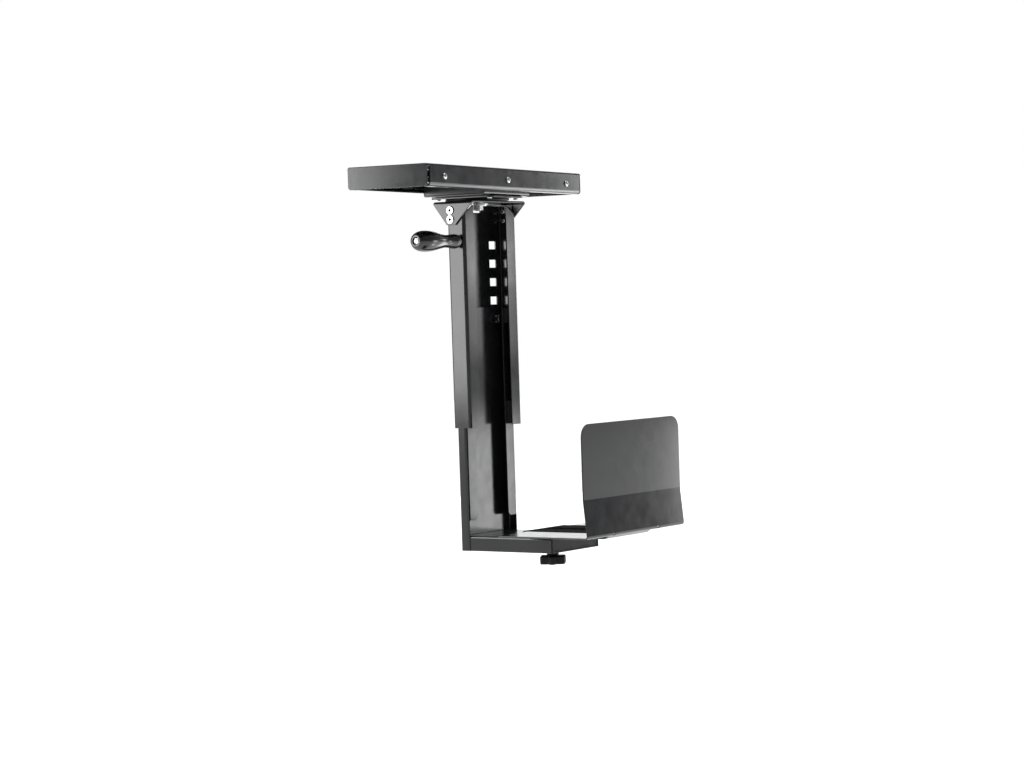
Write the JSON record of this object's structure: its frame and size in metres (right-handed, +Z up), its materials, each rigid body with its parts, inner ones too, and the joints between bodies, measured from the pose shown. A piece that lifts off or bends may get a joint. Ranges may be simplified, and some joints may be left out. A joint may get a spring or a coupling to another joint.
{
  "type": "under-desk computer holder",
  "caption": "Under-desk computer holder: ceiling track, turning yoke, telescopic folded steel column, shelf arm and a sliding side panel with a clamp knob and a grip.",
  "frame": {"origin": "where the swivel axis meets the underside of the desk, on the track housing's top face", "axes": "+Z up towards the desk, +X from the column towards the side panel, +Y along the panel's width, away from the grip"},
  "size_m": [0.3254, 0.4518, 0.5265],
  "materials": {
    "black_steel": "semi-gloss black powder coat",
    "bare_steel": "bright zinc plate",
    "black_plastic": "moulded black plastic",
    "nylon": "black nylon",
    "rubber": "matt black rubber"
  },
  "bodies": {
    "track": {"track_housing": "black_steel", "rail_left": "bare_steel", "rail_right": "bare_steel", "side_screw_left_1": "bare_steel", "side_screw_left_2": "bare_steel", "side_screw_left_3": "bare_steel", "side_screw_right_1": "bare_steel", "side_screw_right_2": "bare_steel", "side_screw_right_3": "bare_steel", "bumper_near": "rubber", "bumper_far": "rubber"},
    "carriage": {"carriage": "black_steel", "glide_1": "nylon", "glide_2": "nylon", "glide_3": "nylon", "glide_4": "nylon", "swivel_plate": "black_steel", "swivel_screw_1": "bare_steel", "swivel_screw_2": "bare_steel", "swivel_screw_3": "bare_steel", "swivel_screw_4": "bare_steel", "pivot_bolt": "bare_steel"},
    "head": {"pivot_washer": "bare_steel", "pivot_nut": "bare_steel", "hub_disc": "black_plastic", "yoke": "black_steel", "upper_column": "black_steel", "rivet_1": "bare_steel", "rivet_2": "bare_steel", "rivet_3": "bare_steel", "rivet_4": "bare_steel", "column_guide_left": "nylon", "column_guide_right": "nylon", "handle_boss": "bare_steel", "handle_pin": "bare_steel"},
    "grip": {"handle_grip": "black_plastic"},
    "lower": {"lower_column": "black_steel", "column_shoe_left": "nylon", "column_shoe_right": "nylon", "shelf_arm": "black_steel", "arm_end_cap": "black_plastic", "clamp_bolt": "bare_steel", "clamp_washer": "bare_steel"},
    "lock_left": {"lock_pin_left": "bare_steel"},
    "lock_right": {"lock_pin_right": "bare_steel"},
    "panel": {"side_panel": "black_steel", "foot_mat": "rubber"},
    "knob": {"clamp_knob": "black_plastic", "knob_insert": "bare_steel"}
  },
  "joints": [
    {"name": "track_slide", "type": "slide", "parent": "track", "child": "carriage", "axis": [-0.1392, 0.9903, 0], "range_m": [-0.164, 0.124]},
    {"name": "swivel", "type": "hinge", "parent": "carriage", "child": "head", "pos_m": [0, 0, -0.04], "axis": [0, 0, 1], "continuous": true},
    {"name": "grip_spin", "type": "hinge", "parent": "head", "child": "grip", "pos_m": [0.01, -0.1, -0.095], "axis": [0, 1, 0], "continuous": true},
    {"name": "height_slide", "type": "slide", "parent": "head", "child": "lower", "axis": [0, 0, 1], "range_m": [-0.1, 0.1]},
    {"name": "lock_left_push", "type": "slide", "parent": "lower", "child": "lock_left", "axis": [-1, 0, 0], "range_m": [0, 0.0038]},
    {"name": "lock_right_push", "type": "slide", "parent": "lower", "child": "lock_right", "axis": [-1, 0, 0], "range_m": [0, 0.0038]},
    {"name": "panel_slide", "type": "slide", "parent": "lower", "child": "panel", "axis": [1, 0, 0], "range_m": [-0.085, 0]},
    {"name": "clamp_turn", "type": "hinge", "parent": "lower", "child": "knob", "pos_m": [0.105, 0, -0.51], "axis": [0, 0, 1], "continuous": true}
  ]
}
